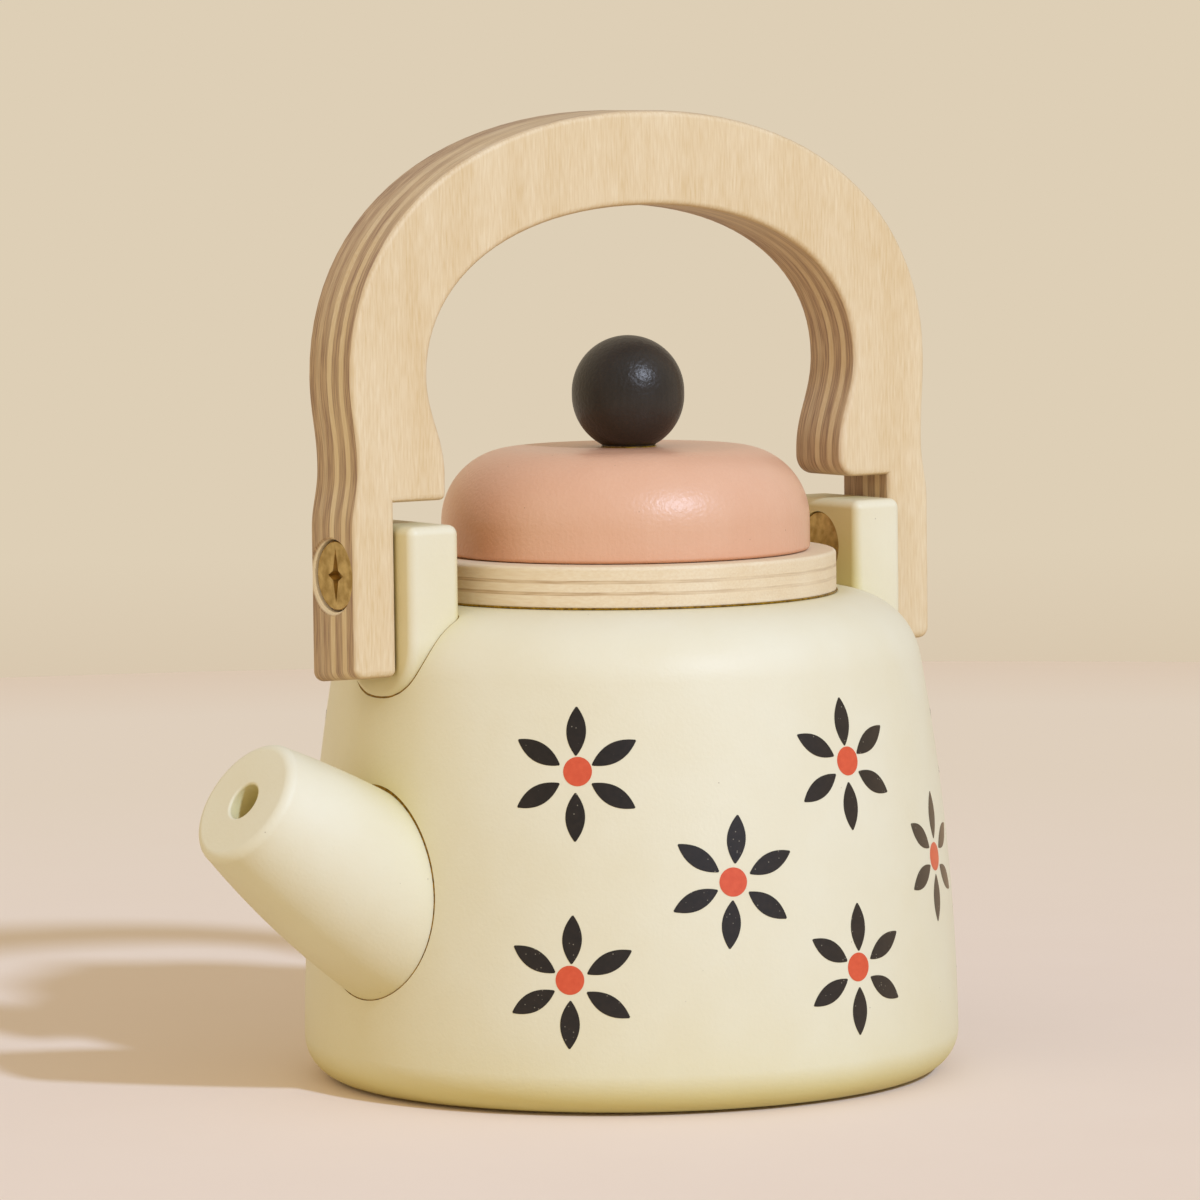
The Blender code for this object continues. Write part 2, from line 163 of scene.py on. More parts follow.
def linear(code):
    """Linear RGBA of an sRGB hex colour."""
    parts = [int(code[i:i + 2], 16) / 255 for i in (1, 3, 5)]
    return (*[p / 12.92 if p <= 0.04045 else ((p + 0.055) / 1.055) ** 2.4 for p in parts], 1.0)


def per(size):
    """Scale of a pattern whose features are this many mm apart."""
    return 1 / (size * MM)


def set_inputs(tree, node, inputs):
    """Fill in a node's inputs: link a socket, or a node's first output, or else write in a value."""
    for name, value in inputs.items():
        if isinstance(value, bpy.types.Node):
            value = value.outputs[0]
        if isinstance(value, bpy.types.NodeSocket):
            tree.links.new(value, node.inputs[name])
        else:
            node.inputs[name].default_value = value


def add_node(tree, kind, inputs=None, **settings):
    """Add a node with its settings and its inputs."""
    made = tree.nodes.new("ShaderNode" + kind)
    for name, value in settings.items():
        setattr(made, name, value)
    set_inputs(tree, made, inputs or {})
    return made


def graded(tree, value, reach, first, last):
    """A colour that runs from first to last, each a hex code or a socket, over the reach of a value."""
    part = add_node(tree, "MapRange", {"Value": value, "From Min": reach[0], "From Max": reach[1]})
    ends = [linear(end) if isinstance(end, str) else end for end in (first, last)]
    blend = add_node(tree, "Mix", {0: part, 6: ends[0], 7: ends[1]}, data_type="RGBA")
    return blend.outputs[2]


def specks(tree, spot, spacing, edge, share):
    """Dots in a share of the cells: 0 at the edge's first distance, in spacings, 1 at its second."""
    cells = add_node(tree, "TexVoronoi", {"Vector": spot, "Scale": per(spacing)})
    near = add_node(tree, "MapRange", {
        "Value": cells.outputs["Distance"], "From Min": edge[0], "From Max": edge[1]})
    chance = add_node(tree, "SeparateColor", {0: cells.outputs["Color"]})
    rare = add_node(tree, "Math", {0: chance, 1: 1 - share}, operation="GREATER_THAN")
    return add_node(tree, "Math", {0: near, 1: rare}, operation="MULTIPLY")


def new_finish(name, values):
    """A material with its node tree, its Principled shader, set, and its Object coordinates."""
    finish = bpy.data.materials.new(name)
    finish.use_nodes = True
    tree = finish.node_tree
    shader = tree.nodes["Principled BSDF"]
    set_inputs(tree, shader, values)
    return finish, tree, shader, add_node(tree, "TexCoord").outputs["Object"]


# %% [markdown]
# ## Lacquer on turned wood
# Nitrocellulose lacquer is sprayed on and rubbed down, so it is satin, not glassy. Up close it has a
# soft orange-peel ripple, a few pores of the wood, and a tone that is never quite even. In corners,
# where little light reaches and light bounces between warm surfaces, that shade is painted in as
# amber: an Ambient Occlusion node finds those places, and there the colour is multiplied. All three
# lacquers are one film in another colour.

# %% Cream, pink and black lacquer
PEEL_SIZE = 0.55
CLOUD_SIZE = 14.0
GRAIN_WIDTH = 0.5
GRAIN_LENGTH = 9.0
PORE_SPACING = 0.8
PORE_EDGE = (0.16, 0.06)
PORE_FAINT = (0.0, 2.0)    # a full mark, which is 1, comes half way
CORNER_REACH = 22.0
SHELTER = (0.85, 0.2)      # open sky where amber starts, and where it is full
GLOSS_VARIES = (-0.04, 0.05)


def lacquer(name, light, dark, amber, gleam, roughness, ripple, grain, pores):
    """Sprayed lacquer: a cloudy tone, faint grain, a few pores, painted amber shade in corners, a
    rippled surface.
    """
    finish, tree, shader, spot = new_finish(name, {"IOR": 1.5, "Specular Tint": linear(gleam)})
    clouds = add_node(tree, "TexNoise", {"Vector": spot, "Scale": per(CLOUD_SIZE), "Detail": 3.0})
    long_way = add_node(tree, "Mapping", {
        "Vector": spot, "Scale": (per(GRAIN_WIDTH), per(GRAIN_WIDTH), per(GRAIN_LENGTH))})
    streaks = add_node(tree, "TexNoise", {"Vector": long_way, "Scale": 1.0, "Detail": 4.0})
    tone = add_node(tree, "Math", {0: streaks, 1: grain, 2: clouds}, operation="MULTIPLY_ADD")
    reach = [cloud + streak * grain for cloud, streak in zip(NOISE, HARD_NOISE)]
    colour = graded(tree, tone, reach, dark, light)
    pore = specks(tree, spot, PORE_SPACING, PORE_EDGE, pores)
    pored = graded(tree, pore, PORE_FAINT, colour, "#6B4A33")
    open_sky = add_node(tree, "AmbientOcclusion", {"Distance": CORNER_REACH * MM}, samples=4)
    sheltered = add_node(tree, "MapRange", {
        "Value": open_sky.outputs["AO"], "From Min": SHELTER[0], "From Max": SHELTER[1]})
    # Painted shade: where the AO node finds a corner sheltered, the colour is multiplied towards amber.
    painted_corner_shade = add_node(tree, "Mix", {0: sheltered, 6: pored, 7: linear(amber)}, data_type="RGBA",
                    blend_type="MULTIPLY")
    gloss = add_node(tree, "MapRange", {
        "Value": clouds, "From Min": NOISE[0], "From Max": NOISE[1],
        "To Min": roughness + GLOSS_VARIES[0], "To Max": roughness + GLOSS_VARIES[1]})
    peel = add_node(tree, "TexNoise", {"Vector": spot, "Scale": per(PEEL_SIZE), "Detail": 2.0})
    height = add_node(tree, "Math", {0: streaks, 1: grain, 2: peel}, operation="MULTIPLY_ADD")
    bumpy = add_node(tree, "Bump", {"Height": height, "Distance": ripple * MM, "Strength": 0.6})
    set_inputs(tree, shader, {"Base Color": painted_corner_shade.outputs[2], "Roughness": gloss, "Normal": bumpy})
    return finish


cream = lacquer("cream lacquer on turned beech", "#EBE4CB", "#E8DFC2", "#F5EEBE", "#FFFAF2",
                roughness=0.5, ripple=0.05, grain=0.1, pores=0.004)
pink = lacquer("pink lacquer on turned beech", "#E5B697", "#DFAC8C", "#F4E4D6", "#FFF6EA",
               roughness=0.34, ripple=0.12, grain=0.3, pores=0.03)
black = lacquer("black lacquer on a turned ball", "#312F2D", "#242220", "#FFF0E0", "#FFECD8",
                roughness=0.4, ripple=0.14, grain=0.4, pores=0.0)
print("lacquers:", cream.name, "/", pink.name, "/", black.name)

# %% [markdown]
# ## Turning on a lathe
# The body, spout, collar, lid, knob and brass are all turned, so each is half a cross-section spun
# round the Z axis. bmesh's spin does what the lathe does. Its full turn needs use_merge to close the
# seam, points on the axis are merged into one pole, and the normals are then made to face outward.

# %% A lathe
BODY_STEPS = 192
SMALL_STEPS = 96
Z_AXIS = Vector((0, 0, 1))


def arc(r, z, radius, start, stop, steps=10):
    """Points of a round stretch in an outline, from one angle to another in degrees."""
    turns = [radians(start + (stop - start) * i / steps) for i in range(steps + 1)]
    return [(r + radius * cos(turn), z + radius * sin(turn)) for turn in turns]


def lathe(outline, steps=SMALL_STEPS):
    """Spin an outline of (radius, height) points, in mm, into a solid."""
    shape = bmesh.new()
    points = [shape.verts.new((r, 0, z)) for r, z in outline]
    lines = [shape.edges.new(pair) for pair in zip(points, points[1:])]
    bmesh.ops.spin(shape, geom=points + lines, cent=(0, 0, 0), axis=Z_AXIS, angle=2 * pi,
                   steps=steps, use_merge=True)
    bmesh.ops.remove_doubles(shape, verts=shape.verts, dist=HAIR)
    bmesh.ops.recalc_face_normals(shape, faces=shape.faces)
    return shape


# %% [markdown]
# ## The body
# The body is a beech block turned to a long, slightly swelling side that runs into a round shoulder
# and a round foot. Three arcs that touch each other give that line: the side is a piece of a very
# large circle, and each edge is a small circle inside it. The foot's round stops short of the floor,
# and the block stands on a slightly smaller flat base, which is what makes the dark line under it. It
# is bored out from the top, where the lid goes.

# %% Body
SIDE_CURVE = 345.0
BELLY_HEIGHT = 2.0
FOOT_ROUND = 6.2
SHOULDER_ROUND = 11.5
CAVITY_RADIUS = 25.5
CAVITY_FLOOR = 14.0
FOOT_STOP = -67
BASE_INSET = 3.5
side_axis = belly_radius - SIDE_CURVE


def side_radius(z):
    """Radius of the body's side at a height."""
    return side_axis + sqrt(SIDE_CURVE ** 2 - (z - BELLY_HEIGHT) ** 2)


def edge_centre(rounding, z):
    """Where a round edge that touches the side has its centre, and the angle at which they meet."""
    r = side_axis + sqrt((SIDE_CURVE - rounding) ** 2 - (z - BELLY_HEIGHT) ** 2)
    return r, degrees(atan2(z - BELLY_HEIGHT, r - side_axis))


shoulder_z = body_top - SHOULDER_ROUND
shoulder_r, shoulder_turn = edge_centre(SHOULDER_ROUND, shoulder_z)
foot_r, foot_turn = edge_centre(FOOT_ROUND, FOOT_ROUND)


def flank(inset):
    """The body's line from the shoulder down to the foot, this far below the surface."""
    return (arc(shoulder_r, shoulder_z, SHOULDER_ROUND - inset, 90, shoulder_turn, 16)
            + arc(side_axis, BELLY_HEIGHT, SIDE_CURVE - inset, shoulder_turn, foot_turn, 24)[1:-1]
            + arc(foot_r, FOOT_ROUND, FOOT_ROUND - inset, foot_turn, FOOT_STOP, 12))


surface = flank(0)
base_radius = surface[-1][0] - BASE_INSET
body_line = (
    [(0, CAVITY_FLOOR), (CAVITY_RADIUS, CAVITY_FLOOR), (CAVITY_RADIUS, body_top)] + surface
    + [(base_radius, surface[-1][1]), (base_radius, 0), (0, 0)])
body = settle("turned_body", lathe(body_line, BODY_STEPS))
print(f"side {side_radius(shoulder_z):.1f} mm at the shoulder")

# %% [markdown]
# ## The spout
# The spout is turned on its own axis, thickest at the root, with a soft lip and a blind hole that is
# only a hint of a real spout. It is glued into an angled socket, about two degrees out of true. The
# same outline, grown by the glue gap, cuts that socket, so the seam round the root is a real gap,
# widest above, where the spout sits low in it.

# %% Spout and its socket
GLUE_GAP = 0.3
SPOUT_HEIGHT = 31.2
SPOUT_ANGLE = 33.9
SPOUT_TURN = 2.3
SPOUT_PROUD = 25.7
SPOUT_SEAT = 11.8
SPOUT_ROOT = 14.0
SPOUT_TIP = 9.45
SPOUT_LIP = 1.6
SPOUT_HOLE = 2.8
SPOUT_HOLE_DEPTH = 12.0
HOLE_EASE = 0.4
SOCKET_SLIP = 0.15


def move(shape, turn=0.0, axis="Z", shift=(0, 0, 0)):
    """Turn a whole shape about an axis, by an angle in radians, and then shift it."""
    bmesh.ops.rotate(shape, verts=shape.verts, matrix=Matrix.Rotation(turn, 3, axis))
    bmesh.ops.translate(shape, verts=shape.verts, vec=shift)
    return shape


def spout_side(grow, top, steps=32):
    """The spout's swelling side from the lip down to the root, along its own axis."""
    length = SPOUT_PROUD + SPOUT_SEAT
    heights = [top - (top + SPOUT_SEAT) * i / steps for i in range(steps + 1)]
    swells = [(z, ((z + SPOUT_SEAT) / length) ** 2) for z in heights]
    return [(SPOUT_ROOT + grow - (SPOUT_ROOT - SPOUT_TIP) * swell, z) for z, swell in swells]


def lean(shape):
    """Lay a shape that was made along Z on the spout's axis."""
    root = (-side_radius(SPOUT_HEIGHT), 0, SPOUT_HEIGHT)
    return move(move(shape, radians(SPOUT_ANGLE - 90), "Y", root), radians(SPOUT_TURN))


cone = spout_side(0, SPOUT_PROUD - SPOUT_LIP)
lip = arc(cone[0][0] - SPOUT_LIP, SPOUT_PROUD - SPOUT_LIP, SPOUT_LIP, 90, 0)
mouth = arc(SPOUT_HOLE + HOLE_EASE, SPOUT_PROUD - HOLE_EASE, HOLE_EASE, 180, 90, 4)
hole_floor = SPOUT_PROUD - SPOUT_HOLE_DEPTH
spout_line = [(0, hole_floor), (SPOUT_HOLE, hole_floor)] + mouth + lip[:-1] + cone + [(0, -SPOUT_SEAT)]
spout = settle("spout_cone", lean(lathe(spout_line)))
socket_line = [(0, SPOUT_PROUD)] + spout_side(GLUE_GAP, SPOUT_PROUD) + [(0, -SPOUT_SEAT - GLUE_GAP)]


def spout_socket():
    """The socket's shape, a little above the spout."""
    return lean(move(lathe(socket_line), shift=(SOCKET_SLIP, 0, 0)))


socket = settle("spout_socket", spout_socket())
print(f"spout {SPOUT_PROUD} mm proud, turned {SPOUT_TURN} degrees")

# %% [markdown]
# ## The lugs
# Each lug is a tongue with a half-round lower end, let into a routed slot in the shoulder. In bmesh a
# disc is cut in half, its straight edge is pulled up to make the tongue, the face is pulled out to
# give the thickness, and the edges are then bevelled round. The same tongue, grown by a thin glue gap
# and set a little low, cuts the slot. A counterbore on the inside takes the brass nut.

# %% Shapes for the lugs
LUG_STEPS = 96
LUG_EASE = 1.4
POST_RADIUS = 2.6
HEAD_RADIUS = 5.0
HEAD_THICKNESS = 1.6
NUT_SINK = 0.3
NUT_THICKNESS = 2.2
RUNNING_GAP = 0.3
NUT_GAP = 0.08
OVERRUN = 2.0
SLOT_GAP = 0.18
SLOT_SLIP = 0.1
SIDES = (("front", -1), ("rear", 1))
UPRIGHT = Matrix(((0, 0, 1), (1, 0, 0), (0, 1, 0)))
lug_low, lug_high = span("rear_lug")
lug_half = lug_high.y
lug_bend_z = lug_low.z + lug_half


def pull(shape, made, way):
    """Move the new points of an extrusion, and return them."""
    points = [part for part in made["geom"] if isinstance(part, bmesh.types.BMVert)]
    bmesh.ops.translate(shape, verts=points, vec=way)
    return points


def tongue(grow=0):
    """The lug's round-edged tongue on the +X side, grown on every side."""
    inner, outer = lug_low.x - grow, lug_high.x + grow
    shape = bmesh.new()
    bmesh.ops.create_circle(shape, cap_ends=True, segments=LUG_STEPS, radius=lug_half + grow)
    bmesh.ops.bisect_plane(shape, geom=shape.verts[:] + shape.edges[:] + shape.faces[:], dist=HAIR,
                           plane_co=(0, 0, 0), plane_no=(0, 1, 0), clear_outer=True)
    straight = [e for e in shape.edges if all(abs(v.co.y) < HAIR for v in e.verts)]
    rise = lug_high.z + grow - lug_bend_z
    pull(shape, bmesh.ops.extrude_edge_only(shape, edges=straight), (0, rise, 0))
    bmesh.ops.dissolve_edges(shape, edges=straight)
    pull(shape, bmesh.ops.extrude_face_region(shape, geom=shape.faces[:]), (0, 0, outer - inner))
    bmesh.ops.rotate(shape, verts=shape.verts, matrix=UPRIGHT)
    move(shape, shift=(inner, 0, lug_bend_z))
    bmesh.ops.recalc_face_normals(shape, faces=shape.faces)
    edges = [e for e in shape.edges if e.calc_face_angle(0) > pi / 4]
    bmesh.ops.bevel(shape, geom=edges, offset=LUG_EASE + grow, affect="EDGES", segments=5,
                    profile=0.5, material=-1)
    return shape


def to_side(shape, side, z=pivot_z):
    """Lay a shape that was made along Z on one side, at a height."""
    return move(shape, side * pi / 2, "Y", (0, 0, z))


def flip(shape, side):
    """Turn a shape on the +X side round to the other side where it belongs there."""
    return move(shape, pi) if side < 0 else shape


def lug_slot(side):
    """The slot's shape: the tongue grown by its glue gap, a little low."""
    return flip(move(tongue(SLOT_GAP), shift=(0, 0, -SLOT_SLIP)), side)


def stepped(start, *steps):
    """Outline of a stepped bore: where it starts, then the radius of each step and where it ends."""
    line = [(0, start)]
    for radius, stop in steps:
        line += [(radius, start), (radius, stop)]
        start = stop
    return line + [(0, start)]


# %% Lugs, with their slots and bores
nut_under = lug_low.x + NUT_SINK + NUT_THICKNESS
lug_bore = stepped(lug_high.x + OVERRUN, (POST_RADIUS + GLUE_GAP, nut_under + GLUE_GAP),
                   (HEAD_RADIUS + NUT_GAP, lug_low.x - OVERRUN))
slots = []
for name, side in SIDES:
    lug = settle(name + "_lug_tongue", flip(tongue(), side))
    dowel_low, dowel_high = span(name + "_lug_dowel")
    dowel_z = (dowel_low.z + dowel_high.z) / 2
    near, far = sorted((abs(dowel_low.x), abs(dowel_high.x)))
    dowel_hole = stepped(far + GLUE_GAP, (dowel_high.y + GLUE_GAP, near - GLUE_GAP))
    in_lug, in_body = [settle("dowel_hole", to_side(lathe(dowel_hole), side, dowel_z)) for _ in range(2)]
    carve(lug, settle("bore", to_side(lathe(lug_bore), side)), in_lug)
    dress(lug, cream, "kettle", "cream_lacquer", name + "_lug")
    slots += [in_body, settle("slot", lug_slot(side))]
carve(body, socket, *slots)
dress(body, cream, "kettle", "cream_lacquer", "body")
dress(spout, cream, "kettle", "cream_lacquer", "spout")

# %% [markdown]
# ## Glue in the seams
# A seam that is only a gap renders black. Each seam here is filled with glue just below the surface,
# and its dark brown is partly the glue's own colour and partly painted shade of the seam. So each
# filling is the socket's shape, kept only where it lies inside a slightly smaller body, less the piece
# that sits in it. Round the collar and the ball's neck the glue has squeezed out as a fine bead. Wood
# glue dries lumpy and amber, more glossy where it lies thick.

# %% Glue
GLUE_DEPTH = 0.06
BEAD = 0.15
GLUE_LUMP = 0.7
GLUE_RELIEF = 0.2
glue, tree, shader, spot = new_finish("dried wood glue and seam shade", {"IOR": 1.48, "Specular IOR Level": 0.2})
lumps = add_node(tree, "TexNoise", {"Vector": spot, "Scale": per(GLUE_LUMP), "Detail": 3.0})
# The dark glue tones are partly the glue's colour and partly painted shade of the seams.
glue_and_seam_shade = graded(tree, lumps, HARD_NOISE, "#664600", "#A27A14")
shine = add_node(tree, "MapRange", {"Value": lumps, "To Min": 0.5, "To Max": 0.2})
lumpy = add_node(tree, "Bump", {"Height": lumps, "Distance": GLUE_RELIEF * MM})
set_inputs(tree, shader, {"Base Color": glue_and_seam_shade, "Roughness": shine, "Normal": lumpy})

under_surface = flank(GLUE_DEPTH)
inner_line = [(0, body_top - GLUE_DEPTH)] + under_surface + [(0, under_surface[-1][1])]
spout_plain = [(0, SPOUT_PROUD)] + spout_side(0, SPOUT_PROUD) + [(0, -SPOUT_SEAT)]
fillings = [("spout_glue", spout_socket(), lean(lathe(spout_plain)))]
for name, side in SIDES:
    fillings.append((name + "_lug_glue", lug_slot(side), flip(tongue(), side)))
for name, opening, glued_piece in fillings:
    filling = settle(name, opening)
    carve(filling, settle("inner_body", lathe(inner_line, BODY_STEPS)), how="INTERSECT")
    carve(filling, settle("glued_piece", glued_piece))
    dress(filling, glue, "kettle", "cream_lacquer")


def bead(r, z):
    """A fine ring of glue that was squeezed out of a seam."""
    return lathe(arc(r, z, BEAD, 0, 360, 12), BODY_STEPS)


# %% [markdown]
# ## Birch plywood
# Plywood is veneers glued with their grain crossed. On a sawn edge the crossed plies show their end
# grain and look brown, most where the edge faces along their grain, and the others stay pale. So the
# finish works out which ply a point is in, from how deep it lies in the board, and which way the
# surface faces there. Fine streaks run along the plies, and the flat faces show only one pale veneer
# with short, faint fibres.

# %% Plywood
FIBRE_WIDTH = 0.3
FIBRE_LENGTH = 3.5
BAND_WIDTH = 6.0
BAND_LENGTH = 45.0
STREAK_WIDTH = 0.22
STREAK_LENGTH = 5.0
FIBRE_CONTRAST = (0.32, 0.68)
STREAK_CONTRAST = (0.36, 0.6)
FIBRE_RELIEF = 0.05
PLY_WAVER = 0.1
PLY_BLUR = 0.05
BAND_SHARE = 0.4
STAIN_EDGE = (0.13, 0.2)


def plywood(name, axes, board, first, period, share, tones, brown, contrast, turn=0.0, stain=0.0):
    """Plywood whose depth, face grain and cross grain run along these axes of the turned object.

    The board is its low side, its high side and its face veneer. A crossed ply lies every period from
    the first, and fills a share of it. Contrast is the least and most brown of end grain, in crossed
    plies and in the others, and stain is more brown towards the high side.
    """
    depth, face, cross = axes
    low, high, veneer = board
    finish, tree, shader, spot = new_finish(name, {"IOR": 1.5})
    spot, facing = [
        add_node(tree, "VectorRotate", {"Vector": way, "Angle": radians(turn)},
                 rotation_type="Z_AXIS") for way in (spot, spot.node.outputs["Normal"])]
    where, looks = [add_node(tree, "SeparateXYZ", {0: way}) for way in (spot, facing)]
    noises = {}
    for label, sizes, detail in (
            ("fibres", {face: FIBRE_LENGTH, cross: FIBRE_WIDTH, depth: FIBRE_WIDTH}, 3.0),
            ("bands", {face: BAND_LENGTH, cross: BAND_WIDTH, depth: BAND_WIDTH}, 2.0),
            ("streaks", {face: STREAK_LENGTH, cross: STREAK_LENGTH, depth: STREAK_WIDTH}, 3.0),
            ("layers", {face: BAND_LENGTH, cross: BAND_LENGTH, depth: period}, 1.0)):
        scale = [per(sizes[axis]) for axis in "XYZ"]
        stretched = add_node(tree, "Mapping", {"Vector": spot, "Scale": scale})
        noises[label] = add_node(tree, "TexNoise", {
            "Vector": stretched, "Scale": 1.0, "Detail": detail})
    shift = add_node(tree, "MapRange", {
        "Value": noises["bands"], "To Min": -PLY_WAVER, "To Max": PLY_WAVER})
    deep = add_node(tree, "Math", {
        0: where.outputs[depth], 1: 2 / (period * MM), 2: -2 * first / period},
        operation="MULTIPLY_ADD")
    wavy = add_node(tree, "Math", {0: deep, 1: shift}, operation="ADD")
    saw = add_node(tree, "Math", {0: wavy, 1: 1.0}, operation="PINGPONG")
    in_cross = add_node(tree, "MapRange", {
        "Value": saw, "From Min": share + PLY_BLUR, "From Max": share - PLY_BLUR})
    from_middle = add_node(tree, "Math", {0: where.outputs[depth], 1: (low + high) / 2 * MM},
                           operation="SUBTRACT")
    away = add_node(tree, "Math", {0: from_middle}, operation="ABSOLUTE")
    inner = add_node(tree, "Math", {0: away, 1: ((high - low) / 2 - veneer) * MM},
                     operation="LESS_THAN")
    crossed = add_node(tree, "Math", {0: in_cross, 1: inner}, operation="MULTIPLY")
    ends = {}
    for axis, least, most in ((cross, *contrast[0]), (face, *contrast[1])):
        square = add_node(tree, "Math", {0: looks.outputs[axis], 1: 2.0}, operation="POWER")
        ends[axis] = add_node(tree, "MapRange", {"Value": square, "To Min": least, "To Max": most})
    end_grain = add_node(tree, "Mix", {0: crossed, 2: ends[face], 3: ends[cross]}, data_type="FLOAT")
    outward = add_node(tree, "Math", {0: looks.outputs[depth], 1: 2.0}, operation="POWER")
    on_edge = add_node(tree, "MapRange", {"Value": outward, "From Min": 0.75, "From Max": 0.35})
    layered = add_node(tree, "MapRange", {
        "Value": noises["layers"], "From Min": HARD_NOISE[0], "From Max": HARD_NOISE[1],
        "To Min": 0.75, "To Max": 1.2})
    deep_stain = add_node(tree, "MapRange", {
        "Value": from_middle, "To Max": stain, "From Min": STAIN_EDGE[0] * (high - low) * MM,
        "From Max": STAIN_EDGE[1] * (high - low) * MM})
    toned = add_node(tree, "Math", {0: end_grain, 1: layered, 2: deep_stain}, operation="MULTIPLY_ADD")
    browned = add_node(tree, "Math", {0: toned, 1: on_edge}, operation="MULTIPLY", use_clamp=True)
    grain = add_node(tree, "Mix", {0: BAND_SHARE, 2: noises["fibres"], 3: noises["bands"]},
                     data_type="FLOAT")
    pale = graded(tree, grain, FIBRE_CONTRAST, *tones)
    dark = graded(tree, noises["streaks"], STREAK_CONTRAST, *brown)
    mixed = add_node(tree, "Mix", {0: browned, 6: pale, 7: dark}, data_type="RGBA")
    gloss = add_node(tree, "MapRange", {
        "Value": noises["fibres"], "From Min": NOISE[0], "From Max": NOISE[1],
        "To Min": 0.5, "To Max": 0.66})
    relief = add_node(tree, "Bump", {
        "Height": noises["fibres"], "Distance": FIBRE_RELIEF * MM, "Strength": 0.4})
    set_inputs(tree, shader, {"Base Color": mixed.outputs[2], "Roughness": gloss, "Normal": relief})
    return finish


# %% [markdown]
# ## The collar
# The collar is a ring of thin plywood glued on the body, with its edges just rubbed down. Its plies
# lie flat, so their depth runs along Z, and the two crossed plies show as thin dark lines round it.

# %% Collar
COLLAR_EASE = 0.6
COLLAR_FOOT = 0.2
COLLAR_VENEER = 1.2
COLLAR_FIRST = 2.08
LID_PLAY = 0.5
collar_low, collar_high = span("collar_ring")
collar_bore = span("lid_plug")[1].y + LID_PLAY
collar_line = (
    [(collar_bore, collar_low.z), (collar_bore, collar_high.z)]
    + arc(collar_high.y - COLLAR_EASE, collar_high.z - COLLAR_EASE, COLLAR_EASE, 90, 0, 5)
    + arc(collar_high.y - COLLAR_FOOT, collar_low.z + COLLAR_FOOT, COLLAR_FOOT, 0, -90, 5)
    + [(collar_bore, collar_low.z)])
collar = settle("plywood_collar", lathe(collar_line, BODY_STEPS))
# The collar's pale tones are partly paler sanded birch and partly painted light, raised to make up for
# the lamp light it gets less of than the handle.
collar_ply = plywood(
    "sanded birch plywood, six millimetres", "ZYX", (collar_low.z, collar_high.z, COLLAR_VENEER),
    first=collar_low.z + COLLAR_FIRST, period=1.68, share=0.3, tones=("#E6CEA7", "#F0DFBF"),
    brown=("#B99870", "#D9BF98"), contrast=((0.45, 0.9), (0.0, 0.12)), turn=-20.0)
dress(collar, collar_ply, "kettle", "birch_plywood", "collar_ring")
collar_bead = bead(collar_high.y + BEAD / 2, collar_low.z - BEAD / 2)
dress(settle("collar_glue", collar_bead), glue, "kettle", "cream_lacquer")

# %% [markdown]
# ## The lid
# The dome, the ball and the plug below are three turned pieces on one dowel. The dome is nearly a
# flat disc with a large round edge. The ball stands on a short neck, where it was cut from its rod,
# and it was glued on half a millimetre off centre.

# %% Dome, ball and plug
DOME_ROUND = 10.8
DOME_EDGE = 0.6
DOME_SINK = 0.2
BALL_STRETCH = 0.5
BALL_SLIP = (0.5, -0.35, 0)
NECK_RADIUS = 4.0
PLUG_CHAMFER = 0.8
dome_low, dome_high = span("lid_dome")
dowel_low, dowel_high = span("knob_dowel")
knob_low, knob_high = span("lid_knob")
plug_low, plug_high = span("lid_plug")
dowel_hole = dowel_high.x + GLUE_GAP
dome_under = dome_low.z - DOME_SINK
dome_line = (
    [(dowel_hole, dome_under), (dowel_hole, dome_high.z)]
    + arc(dome_high.x - DOME_ROUND, dome_high.z - DOME_ROUND, DOME_ROUND, 90, 0, 24)
    + arc(dome_high.x - DOME_EDGE, dome_under + DOME_EDGE, DOME_EDGE, 0, -90, 8)
    + [(dowel_hole, dome_under)])
dome = settle("lid_pink_dome", lathe(dome_line, BODY_STEPS))
dress(dome, pink, "lid", "pink_lacquer", "lid_dome")

knob_radius = knob_high.x
knob_middle = knob_high.z - knob_radius
neck_turn = degrees(asin(NECK_RADIUS / knob_radius))
socket_top = dowel_high.z + GLUE_GAP
ball_bore = dowel_hole + Vector(BALL_SLIP).length
knob_line = (
    [(0, knob_high.z)] + arc(0, knob_middle, knob_radius, 90, 0, 24)[1:]
    + arc(0, knob_middle - BALL_STRETCH, knob_radius, 0, neck_turn - 90, 24)
    + [(NECK_RADIUS, knob_low.z), (ball_bore, knob_low.z), (ball_bore, socket_top), (0, socket_top)])
ball = move(lathe(knob_line), shift=BALL_SLIP)
neck_bead = move(bead(NECK_RADIUS, dome_high.z), shift=BALL_SLIP)
dress(settle("lid_ball_knob", ball), black, "lid", "black_lacquer", "lid_knob")
dress(settle("neck_glue", neck_bead), glue, "lid", "pink_lacquer")

# %% [markdown]
# ## Bare beech
# The plug and the dowels are never painted. Beech is pinkish tan with short dark flecks along the
# grain, which is what tells it from birch.

# %% Beech, and the pieces made of it
FLECK_WIDTH = 0.35
FLECK_LENGTH = 2.6
FLECK_CONTRAST = (0.58, 0.7)
BEECH_CLOUD = 8.0
beech, tree, shader, spot = new_finish("bare beech", {"IOR": 1.5, "Roughness": 0.6})
flecks_at = add_node(tree, "Mapping", {
    "Vector": spot, "Scale": (per(FLECK_WIDTH), per(FLECK_LENGTH), per(FLECK_WIDTH))})
flecks = add_node(tree, "TexNoise", {"Vector": flecks_at, "Scale": 1.0, "Detail": 3.0})
shade = add_node(tree, "TexNoise", {"Vector": spot, "Scale": per(BEECH_CLOUD)})
tan = graded(tree, shade, (0, 1), "#CDA67C", "#E0C199")
flecked = graded(tree, flecks, FLECK_CONTRAST, tan, "#A97C52")
set_inputs(tree, shader, {"Base Color": flecked})

